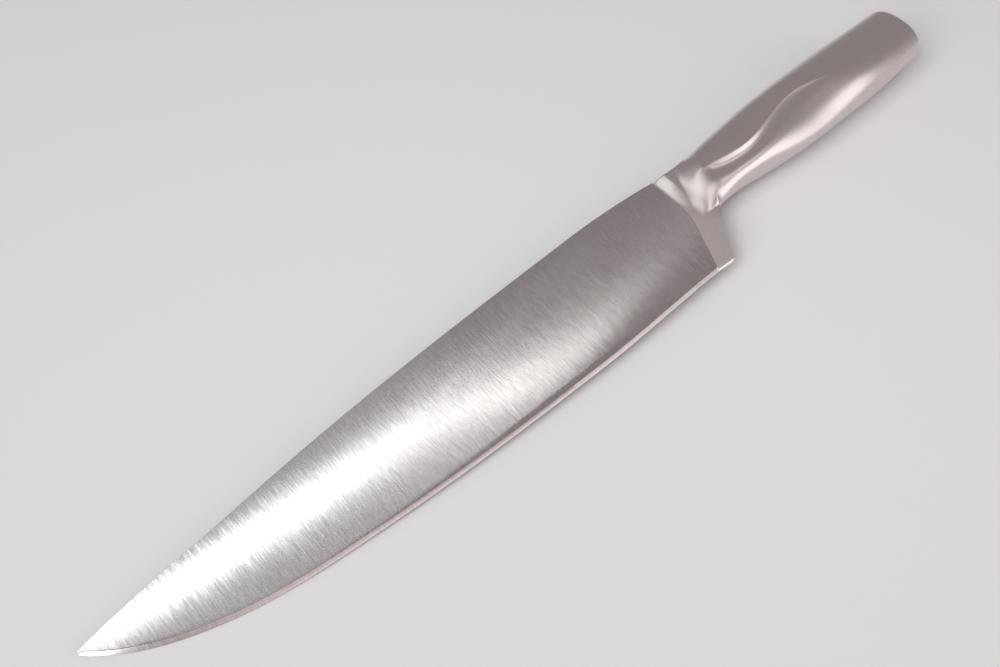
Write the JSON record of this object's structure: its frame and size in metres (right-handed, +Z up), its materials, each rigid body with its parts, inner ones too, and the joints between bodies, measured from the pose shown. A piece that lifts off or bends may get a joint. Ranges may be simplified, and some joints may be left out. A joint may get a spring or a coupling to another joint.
{
  "type": "carving knife",
  "caption": "All-steel carving or cook's knife with a flat-ground blade, a sloping bolster and a hollow sculpted handle, lying on its cheek.",
  "frame": {"origin": "on the ground under the middle of the knife, which lies on its right cheek", "axes": "+X along the knife towards the butt, +Y towards the spine, +Z up out of the left cheek"},
  "size_m": [0.3276, 0.0416, 0.0194],
  "materials": {
    "blade_steel": "satin, ground across the blade",
    "handle_steel": "satin, brushed along the handle",
    "inner_steel": "rough"
  },
  "bodies": {
    "root": {"blade": "blade_steel", "bolster": "handle_steel", "tang": "inner_steel", "handle_shell_left": "handle_steel", "handle_shell_right": "handle_steel", "butt_cap": "handle_steel", "balance_weight": "inner_steel"}
  },
  "joints": []
}
